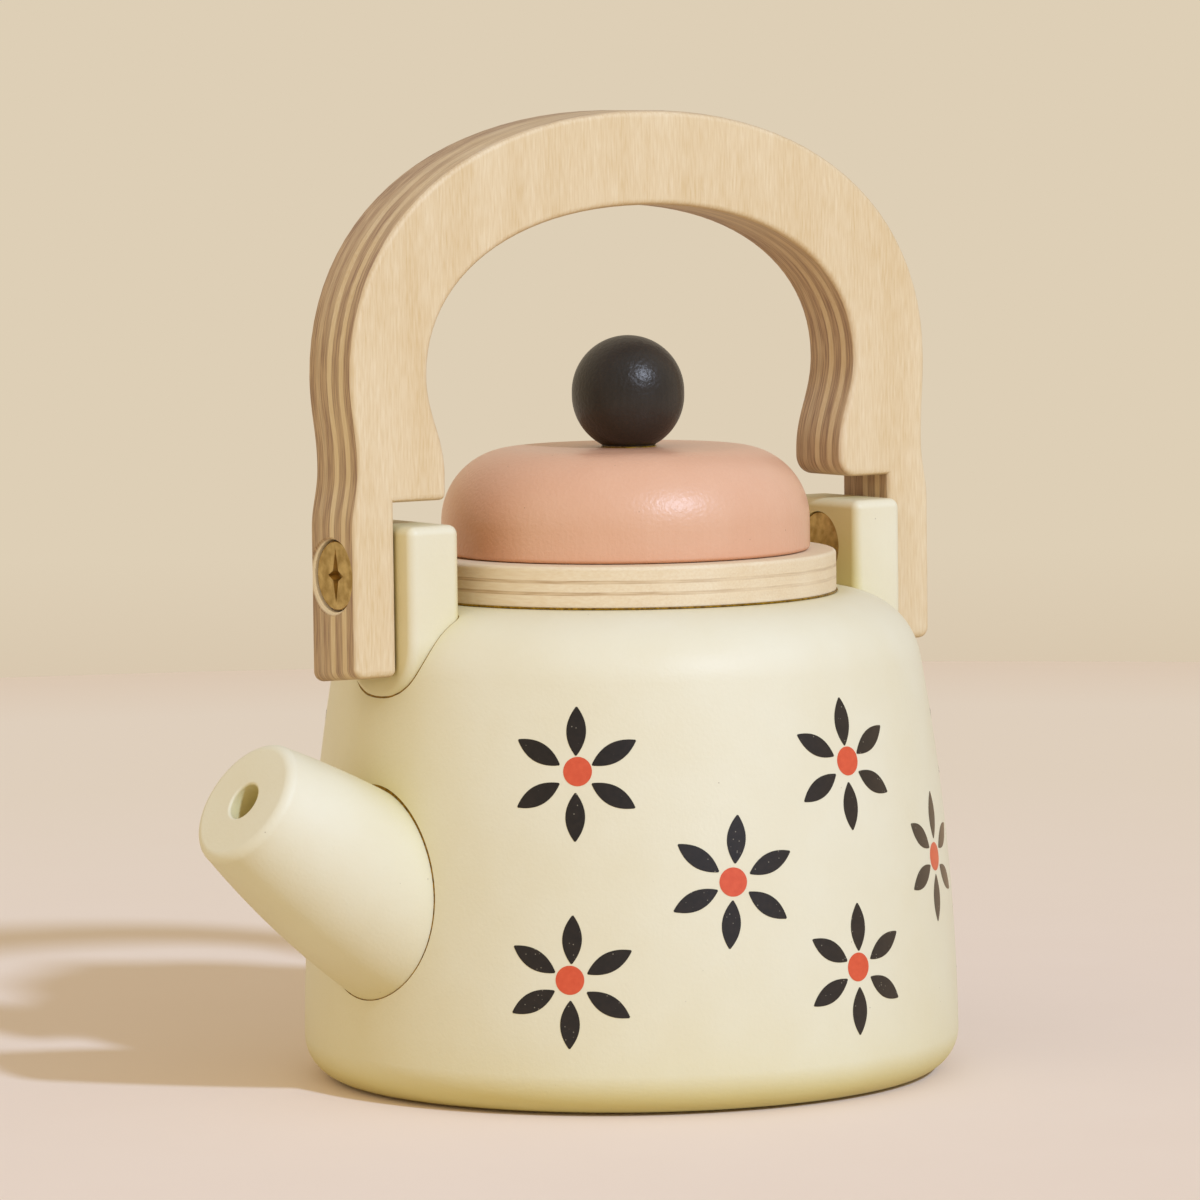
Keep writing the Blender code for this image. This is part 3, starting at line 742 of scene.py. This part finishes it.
plug_line = [
    (dowel_hole, plug_low.z), (dowel_hole, plug_high.z), (plug_high.x, plug_high.z),
    (plug_high.x, plug_low.z + PLUG_CHAMFER), (plug_high.x - PLUG_CHAMFER, plug_low.z),
    (dowel_hole, plug_low.z)]
plug = settle("lid_beech_plug", lathe(plug_line, BODY_STEPS))
dress(plug, beech, "lid", "bare_beech", "lid_plug")
for name in ("knob_dowel", "front_lug_dowel", "rear_lug_dowel"):
    frame["nodes"][name].material_slots[0].material = beech

# %% [markdown]
# ## The handle
# The handle is sawn from one board, so it is a flat outline with thickness. A flat Bezier curve gives
# the long easy arcs of a fret saw, and its own extrude and bevel give the board and its rubbed-down
# edges. One function gives the knots of a half, and is mirrored for the front half, which has a
# deeper waist and a sharper step, as hand sawing leaves it. The curve becomes a mesh, stood upright.

# %% The handle's outline
LEG_WIDTH = 7.1
LEG_DROP = 15.2
LEG_END = 1.6
INNER_END = 1.0
STEP_GAP = 3.4
STEP_DEPTH = 9.0
FRONT_ROUND = 1.0
REAR_ROUND = 2.9
BULGE_RISE = 3.7
GRIP_THICKNESS = 13.9
ARCH_SPREAD = 2.9
ARCH_WIDEST = 28.5
FRONT_WAIST = 1.1
REAR_WAIST = 0.5
REAR_FLARE = 0.5
WAIST_RISE = 15.4
LEG_TOP = 6.4
ARCH_FULL = 0.6
WAVE_FULL = 0.4
QUARTER_BEND = 4 / 3 * (sqrt(2) - 1)
handle_low, handle_high = span("handle")
leg_outer = handle_high.x
leg_inner = leg_outer - LEG_WIDTH
grip_top = handle_high.z - pivot_z
arch_top = grip_top - GRIP_THICKNESS
step = lug_high.z - pivot_z + STEP_GAP
hook = leg_inner - STEP_DEPTH
bulge = step + BULGE_RISE
arch = hook + ARCH_SPREAD
outer_bend = ARCH_FULL * (grip_top - ARCH_WIDEST)
inner_bend = ARCH_FULL * (arch_top - ARCH_WIDEST)
outer_wave = WAVE_FULL * (ARCH_WIDEST - WAIST_RISE)
lower_wave = WAVE_FULL * (WAIST_RISE - LEG_TOP)
inner_wave = WAVE_FULL * (ARCH_WIDEST - bulge)


def half(waist, flare, rounding):
    """Knots of the right half, with the depth of its waist, its leg's flare and its step's rounding."""
    edge = leg_outer + flare
    end = LEG_END * QUARTER_BEND
    inner_end = INNER_END * QUARTER_BEND
    curl = rounding * QUARTER_BEND
    return [
        (leg_outer, ARCH_WIDEST, (0, outer_bend), (0, -outer_wave)),
        (leg_outer - waist, WAIST_RISE, (0, outer_wave), (0, -lower_wave)),
        (edge, LEG_TOP, (0, lower_wave), None),
        (edge, LEG_END - LEG_DROP, None, (0, -end)),
        (edge - LEG_END, -LEG_DROP, (end, 0), None),
        (leg_inner + INNER_END, -LEG_DROP, None, (-inner_end, 0)),
        (leg_inner, INNER_END - LEG_DROP, (0, -inner_end), None),
        (leg_inner, step, None, None),
        (hook + rounding, step, None, (-curl, 0)),
        (hook, step + rounding, (0, -curl), None),
        (hook, bulge, None, (0, inner_wave)),
        (arch, ARCH_WIDEST, (0, -inner_wave), (0, inner_bend))]


front_half = [(-x, z, right and (-right[0], right[1]), left and (-left[0], left[1]))
              for x, z, left, right in reversed(half(FRONT_WAIST, 0, FRONT_ROUND))]
grip = [(0, grip_top, (-ARCH_FULL * leg_outer, 0), (ARCH_FULL * leg_outer, 0))]
under = [(0, arch_top, (ARCH_FULL * arch, 0), (-ARCH_FULL * arch, 0))]
outline = grip + half(REAR_WAIST, REAR_FLARE, REAR_ROUND) + under + front_half
print(f"handle outline of {len(outline)} knots")

# %% Handle
EASE = 0.9
END_SLANT = 0.1
CURVE_STEPS = 24
curve = bpy.data.curves.new("handle_outline", "CURVE")
curve.dimensions = "2D"
curve.fill_mode = "BOTH"
curve.resolution_u = CURVE_STEPS
curve.extrude = handle_high.y - EASE
curve.bevel_depth = EASE
curve.bevel_resolution = 3
curve.offset = -EASE
spline = curve.splines.new("BEZIER")
spline.bezier_points.add(len(outline) - 1)
spline.use_cyclic_u = True
for knot, (x, z, left, right) in zip(spline.bezier_points, outline):
    knot.co = (x, z, 0)
    knot.handle_left_type = "FREE" if left else "VECTOR"
    knot.handle_right_type = "FREE" if right else "VECTOR"
    if left:
        knot.handle_left = (x + left[0], z + left[1], 0)
    if right:
        knot.handle_right = (x + right[0], z + right[1], 0)
pattern = new_object("handle_outline", curve)
board = bmesh.new()
board.from_mesh(final_mesh(pattern))
bpy.data.objects.remove(pattern)
bmesh.ops.remove_doubles(board, verts=board.verts, dist=HAIR)
move(board, pi / 2, "X")
for point in board.verts:
    if point.co.z < 0:
        point.co.z -= END_SLANT * point.co.y
move(board, shift=(0, 0, pivot_z))
bmesh.ops.recalc_face_normals(board, faces=board.faces)
handle = settle("plywood_handle", board)
print(f"handle board with {len(handle.data.polygons)} faces")

# %% [markdown]
# ## Bores and grain of the handle
# A stepped bore in each leg takes the bolt's head, and a shallow countersink, a little off centre,
# bares raw wood round it, painted pale as a crescent that is partly raw wood and partly a painted
# highlight. Its plywood is browner than the collar's, more so towards the back.

# %% The handle's bores and plywood
BOLT_SINK = 0.6
SINK_DEPTH = 0.45
SINK_SLIP = (0, 0.3, -0.15)
head_face = leg_outer - BOLT_SINK
head_under = head_face - HEAD_THICKNESS
post_end = head_under - RUNNING_GAP
leg_bore = stepped(leg_outer + OVERRUN, (HEAD_RADIUS + RUNNING_GAP, post_end),
                   (POST_RADIUS + RUNNING_GAP, leg_inner - OVERRUN))
sink_face = HEAD_RADIUS + RUNNING_GAP + SINK_DEPTH
sink_line = [(0, leg_outer + OVERRUN), (sink_face + OVERRUN, leg_outer + OVERRUN),
             (sink_face - SINK_DEPTH, leg_outer - SINK_DEPTH), (0, leg_outer - SINK_DEPTH)]
for _, side in SIDES:
    sink = move(to_side(lathe(sink_line), side), shift=SINK_SLIP)
    carve(handle, settle("leg_bore", to_side(lathe(leg_bore), side)), settle("countersink", sink))

FACE_VENEER = 0.6
INNER_PLIES = 7
ply = (handle_high.y - handle_low.y - 2 * FACE_VENEER) / INNER_PLIES
handle_ply = plywood(
    "lacquered birch plywood, twelve millimetres", "YZX", (handle_low.y, handle_high.y, FACE_VENEER),
    first=handle_low.y + FACE_VENEER + ply / 2, period=2 * ply, share=0.62,
    tones=("#D9BC8D", "#EBD7B4"), brown=("#987860", "#C3A582"),
    contrast=((0.6, 1.0), (0.12, 0.5)), stain=0.55)

RAW_RADIUS = 5.55
RAW_BLUR = 0.2
RAW_SLIP = (0.4, -0.25)
tree = handle_ply.node_tree
shader = tree.nodes["Principled BSDF"]
brown_edge = shader.inputs["Base Color"].links[0].from_socket
spot = add_node(tree, "TexCoord").outputs["Object"]
middle = (0, -RAW_SLIP[0] * MM, -(pivot_z + RAW_SLIP[1]) * MM)
from_bolt = add_node(tree, "Mapping", {"Vector": spot, "Location": middle})
across = add_node(tree, "VectorMath", {0: from_bolt, 1: (0, 1, 1)}, operation="MULTIPLY")
apart = add_node(tree, "VectorMath", {0: across}, operation="LENGTH")
raw_edge = (RAW_RADIUS * MM, (RAW_RADIUS - RAW_BLUR) * MM)
# Painted highlight: the pale crescent round each bolt is partly bared raw wood and partly painted light
# where the lamp would catch the countersink.
raw_wood_and_highlight = graded(tree, apart.outputs["Value"], raw_edge, brown_edge, "#F2E4CC")
set_inputs(tree, shader, {"Base Color": raw_wood_and_highlight})
dress(handle, handle_ply, "handle", "birch_plywood", "handle")

# %% [markdown]
# ## Brass
# Each side has a bolt in the leg and a barrel nut in the lug, in turned brass that has dulled. The
# bolt's drive is a long slot with a short cross, pressed in with tapering arms, so the cutter is an
# eight-point star whose corners are pulled in or out. Rings from the lathe catch the light. They are
# drawn farther apart than real ones, which would be too fine to show.

# %% Brass
RING_SPACING = 1.57
WAVE_RINGS = 20 / (2 * pi)    # in one unit of a Wave texture
RING_RELIEF = 0.01
BRASS_CLOUD = 1.6
brass, tree, shader, spot = new_finish("dulled turned brass", {"Metallic": 1.0})
centred = add_node(tree, "Mapping", {"Vector": spot, "Location": (0, 0, -pivot_z * MM)})
rings = add_node(tree, "TexWave", {
    "Vector": centred, "Scale": per(RING_SPACING) / WAVE_RINGS, "Distortion": 1.5, "Detail": 2.0},
    wave_type="RINGS", rings_direction="X")
stain = add_node(tree, "TexNoise", {"Vector": spot, "Scale": per(BRASS_CLOUD), "Detail": 4.0})
metal = graded(tree, stain, HARD_NOISE, "#AE9054", "#D2B576")
dull = add_node(tree, "MapRange", {
    "Value": stain, "From Min": NOISE[0], "From Max": NOISE[1], "To Min": 0.45, "To Max": 0.3})
turned_lines = add_node(tree, "Bump", {
    "Height": rings.outputs["Fac"], "Distance": RING_RELIEF * MM, "Strength": 0.4})
set_inputs(tree, shader, {"Base Color": metal, "Roughness": dull, "Normal": turned_lines})
print("metal:", brass.name)

# %% Bolts and barrel nuts
SHANK_RADIUS = 1.5
SHANK_LENGTH = 8.0
THREAD_GAP = 0.3
HEAD_EASE = 0.25
DRIVE_DEPTH = 1.2
DRIVE_LONG = 4.0
DRIVE_SHORT = 2.0
DRIVE_CORE = 1.0
DRIVE_TAPER = (0.7, 0.6, 1)
head_rim = HEAD_RADIUS - HEAD_EASE
shank_end = head_under - SHANK_LENGTH
bolt_line = (
    [(0, shank_end), (SHANK_RADIUS, shank_end), (SHANK_RADIUS, head_under), (HEAD_RADIUS, head_under)]
    + arc(head_rim, head_face - HEAD_EASE, HEAD_EASE, 0, 90, 4) + [(0, head_face)])
nut_face = lug_low.x + NUT_SINK
thread = SHANK_RADIUS + THREAD_GAP
nut_line = (
    [(0, nut_face)] + arc(head_rim, nut_face + HEAD_EASE, HEAD_EASE, -90, 0, 4)
    + [(HEAD_RADIUS, nut_under), (POST_RADIUS, nut_under), (POST_RADIUS, post_end), (thread, post_end),
       (thread, shank_end - THREAD_GAP), (0, shank_end - THREAD_GAP)])


def drive(side):
    """The pressed recess: a star with two long and two short arms that narrows with depth."""
    shape = bmesh.new()
    bmesh.ops.create_circle(shape, cap_ends=True, segments=8, radius=1)
    for corner in shape.verts:
        lead = abs(corner.co.x) - abs(corner.co.y)
        arm = DRIVE_LONG if lead > 0 else DRIVE_SHORT
        corner.co *= DRIVE_CORE if abs(lead) < HAIR else arm
    deep = pull(shape, bmesh.ops.extrude_face_region(shape, geom=shape.faces[:]), (0, 0, -DRIVE_DEPTH))
    bmesh.ops.scale(shape, verts=deep, vec=DRIVE_TAPER)
    bmesh.ops.recalc_face_normals(shape, faces=shape.faces)
    return to_side(move(shape, shift=(0, 0, head_face + HAIR)), side)


for name, side in SIDES:
    bolt = settle(name + "_brass_bolt", to_side(lathe(bolt_line), side))
    carve(bolt, settle("drive", drive(side)))
    dress(bolt, brass, "kettle", "brass", name + "_bolt")
    nut = settle(name + "_brass_nut", to_side(lathe(nut_line), side))
    dress(nut, brass, "kettle", "brass", name + "_barrel_nut")

# %% [markdown]
# ## Printed flowers
# Six-petal daisies in a half-drop repeat are printed on the lacquer. An image would do it, but a thin
# film of ink is the real thing and stays crisp at any distance. Each petal is a grid that is pinched
# to a lens, each dot a small disc. They are laid out flat, in mm along the surface, then given the
# film's thickness and rolled round the body. A little sheen pales the ink where it is seen edge-on.

# %% Inks
INK_CLOUD = 0.8
PINHOLE_SPACING = 0.42
PINHOLE_EDGE = (0.26, 0.1)


def ink(name, light, dark, holes):
    """Pad-printed ink: nearly even, with a few pinholes where the lacquer shows through."""
    finish, tree, shader, spot = new_finish(name, {
        "IOR": 1.5, "Roughness": 0.5, "Sheen Weight": 0.55, "Sheen Roughness": 0.4,
        "Sheen Tint": linear("#FFDCB4")})
    film = add_node(tree, "TexNoise", {"Vector": spot, "Scale": per(INK_CLOUD), "Detail": 4.0})
    colour = graded(tree, film, NOISE, dark, light)
    mark = specks(tree, spot, PINHOLE_SPACING, PINHOLE_EDGE, holes)
    worn = graded(tree, mark, (0, 1), colour, "#938B7A")
    set_inputs(tree, shader, {"Base Color": worn})
    return finish


black_ink = ink("black printing ink", "#241B15", "#17110D", holes=0.1)
coral_ink = ink("coral printing ink", "#E05B38", "#D85130", holes=0.005)
print("inks:", black_ink.name, "/", coral_ink.name)

# %% Petals and dots
PETAL_START = 2.63
PETAL_END = 9.5
PETAL_WIDTH = 2.55
PETAL_TIP = 0.1
PETAL_STRETCH = 1.035
PETALS = 6
DOT_RADIUS = 2.07
DOT_RINGS = 6
INK_FILM = 0.03
INK_LIFT = 0.01


def petals():
    """Six petals lying flat round the origin, one of them straight up."""
    shape = bmesh.new()
    for number in range(PETALS):
        leaf = bmesh.ops.create_grid(shape, x_segments=6, y_segments=24, size=0.5)["verts"]
        for point in leaf:
            swell = 1 - (2 * point.co.y) ** 2
            point.co.x *= PETAL_WIDTH * swell + 2 * PETAL_TIP
            point.co.y = PETAL_START + (point.co.y + 0.5) * (PETAL_END - PETAL_START)
        bmesh.ops.rotate(shape, verts=leaf, matrix=Matrix.Rotation(2 * pi * number / PETALS, 3, "Z"))
    bmesh.ops.scale(shape, vec=(PETAL_STRETCH, 1, 1), verts=shape.verts)
    return shape


def dot():
    """A dot lying flat on the origin."""
    return lathe([(DOT_RADIUS * ring / DOT_RINGS, 0) for ring in range(DOT_RINGS + 1)])


def roll(flat, turn, height):
    """Give a flat shape its thickness and roll it round the body, at an angle from the spout."""
    pull(flat, bmesh.ops.extrude_face_region(flat, geom=flat.faces[:]), (0, 0, INK_FILM))
    for point in flat.verts:
        z = height + point.co.y
        r = side_radius(z) + INK_LIFT + point.co.z
        a = pi + radians(turn) + point.co.x / side_radius(z)
        point.co = (r * cos(a), r * sin(a), z)
    bmesh.ops.recalc_face_normals(flat, faces=flat.faces)
    return flat


# %% Flowers in rows
# Each row is one print: its height, how far it is turned, and where its dots landed
HIGH_ROW = (49.34, 0.0, (0.27, 0.39))
MIDDLE_ROW = (33.79, 6.0, (-0.1, 0.0))
LOW_ROW = (19.89, 1.6, (-0.15, 0.31))
PRINT_LEAN = 0.023
PRINT_FALL = 0.0045
PAIR_TURNS = (45.5, 98.5, 155.5)
SINGLE_TURNS = (73.6, 126.3, 180.0)
pairs = [(turn, row) for turn in PAIR_TURNS for row in (HIGH_ROW, LOW_ROW)]
near_half = pairs + [(turn, MIDDLE_ROW) for turn in SINGLE_TURNS]
spots = near_half + [(-turn, row) for turn, row in near_half if turn < 180]
for name, flat, finish, slot in (("petal_print", petals, black_ink, "black_lacquer"),
                                 ("dot_print", dot, coral_ink, "pink_lacquer")):
    print_film = bmesh.new()
    for turn, (height, spin, slip) in spots:
        shape = move(flat(), -radians(spin), shift=(*slip, 0) if flat is dot else (0, 0, 0))
        leaning = turn + PRINT_LEAN * (height - MIDDLE_ROW[0])
        rolled = roll(shape, leaning, height - PRINT_FALL * turn)
        flower = bpy.data.meshes.new("flower")
        rolled.to_mesh(flower)
        rolled.free()
        print_film.from_mesh(flower)
        bpy.data.meshes.remove(flower)
    dress(settle(name, print_film), finish, "kettle", slot)
print(len(spots), "flowers")

# %% [markdown]
# ## Floor and light
# The kettle stands on pale warm paper, painted a little lighter near the kettle and darker and warmer
# towards its rim, as a painted fall-off of light. One lamp high on the right, in front, gives the
# highlights and a shadow to the left. The world fills in warm light, most from below and the left, as
# lit paper and pale walls do. Both together are about one, so that colours come out as they are
# written. Seen straight, or mirrored in brass, the world is a pale wall, darker behind the camera.

# %% Floor
FLOOR_RADIUS = 660.0
FLOOR_NEAR = 130.0
FLOOR_FAR = 400.0
FLOOR_BEND = 550.0
PAPER_CLOUD = 30.0


def seen(tree):
    """1 for what the camera sees straight or mirrored, and 0 for light that fills the scene."""
    path = add_node(tree, "LightPath")
    return add_node(tree, "Math", {0: path.outputs["Is Camera Ray"], 1: path.outputs["Is Glossy Ray"]},
                    operation="MAXIMUM")


floor_shape = bmesh.new()
bmesh.ops.create_circle(floor_shape, cap_ends=True, segments=128, radius=FLOOR_RADIUS)
floor = settle("floor", floor_shape)
paper, tree, shader, spot = new_finish("warm white paper", {"Roughness": 0.9, "IOR": 1.4})
cloudy = add_node(tree, "TexNoise", {"Vector": spot, "Scale": per(PAPER_CLOUD), "Detail": 4.0})
near_tone = graded(tree, cloudy, (0, 1), "#F8E5D3", "#FAE8D7")
away = add_node(tree, "VectorMath", {0: spot}, operation="LENGTH").outputs["Value"]
# Painted fall-off of light: the paper is painted darker and warmer with distance from the kettle.
far_tone = graded(tree, away, (FLOOR_NEAR * MM, FLOOR_FAR * MM), near_tone, "#F5E4CD")
paper_with_painted_falloff = graded(tree, away, (FLOOR_BEND * MM, FLOOR_RADIUS * MM), far_tone, "#F1DBC1")
bounce = graded(tree, seen(tree), (0, 1), "#DECA9F", paper_with_painted_falloff)
set_inputs(tree, shader, {"Base Color": bounce})
floor.data.materials.append(paper)
print(f"floor {2 * FLOOR_RADIUS:.0f} mm across")

# %% World
FILL = 0.84
FILL_SHARES = (0.5, 1.53)
FILL_FROM = (-0.48, -0.28, -0.83)
AHEAD = (0.56, 0.82, 0.1)
WALL_FOOT = (-0.075, -0.092)
world = bpy.data.worlds.new("warm room")
world.use_nodes = True
scene.world = world
tree = world.node_tree
fill = tree.nodes["Background"]
ways = add_node(tree, "TexCoord").outputs["Generated"]
leftward = add_node(tree, "VectorMath", {0: ways, 1: FILL_FROM}, operation="DOT_PRODUCT")
fuller = add_node(tree, "MapRange", {
    "Value": leftward.outputs["Value"], "From Min": -1.0,
    "To Min": FILL_SHARES[0] * FILL, "To Max": FILL_SHARES[1] * FILL})
set_inputs(tree, fill, {"Color": linear("#FDEED4"), "Strength": fuller})
ahead = add_node(tree, "VectorMath", {0: ways, 1: AHEAD}, operation="DOT_PRODUCT")
backed = add_node(tree, "MapRange", {
    "Value": ahead.outputs["Value"], "From Min": -0.4, "From Max": 0.4, "To Min": 0.5, "To Max": 1.0})
path = add_node(tree, "LightPath")
bright = add_node(tree, "Math", {0: backed, 1: path.outputs["Is Camera Ray"]}, operation="MAXIMUM")
level = add_node(tree, "SeparateXYZ", {0: ways})
wall_tone = graded(tree, level.outputs["Z"], WALL_FOOT, "#DECFB6", "#D9C8AF")
wall = add_node(tree, "Background", {"Color": wall_tone, "Strength": bright})
either = add_node(tree, "MixShader", {0: seen(tree), 1: fill, 2: wall})
set_inputs(tree, tree.nodes["World Output"], {"Surface": either})
print("world:", world.name)

# %% Lamp
LAMP = 0.735
LAMP_SPREAD = 4
LAMP_FROM = Vector((0.043, -0.813, 0.581))
lamp_data = bpy.data.lights.new("window lamp", "SUN")
lamp_data.energy = LAMP * pi
lamp_data.angle = radians(LAMP_SPREAD)
lamp_data.color = linear("#BDD6FF")[:3]
lamp = new_object("window lamp", lamp_data)
lamp.rotation_mode = "QUATERNION"
lamp.rotation_quaternion = LAMP_FROM.to_track_quat("Z", "Y")
scene.view_settings.view_transform = "Standard"
print("lamp:", lamp.name)

# %% [markdown]
# ## Camera
# A long lens from about a metre away, a little higher than the handle and turned towards the spout.
# Its place and lens were fitted to the picture, so it looks at a point near the axis and leans by less
# than a degree.

# %% Camera
CAMERA_TURN = -34.41
CAMERA_RISE = 4.71
CAMERA_DISTANCE = 989.2
CAMERA_LEAN = -0.714
LENS = 199.7
AIM = Vector((-3.24, 2.22, 70.25))
turn = radians(CAMERA_TURN)
rise = radians(CAMERA_RISE)
back = Vector((sin(turn) * cos(rise), -cos(turn) * cos(rise), sin(rise)))
camera_data = bpy.data.cameras.new("camera")
camera_data.lens = LENS
camera = new_object("camera", camera_data)
camera.location = (AIM + CAMERA_DISTANCE * back) * MM
camera.rotation_mode = "QUATERNION"
camera.rotation_quaternion = back.to_track_quat("Z", "Y") @ Quaternion(Z_AXIS, radians(CAMERA_LEAN))
scene.camera = camera
print(f"camera {camera.location.length:.2f} m from the kettle's foot")
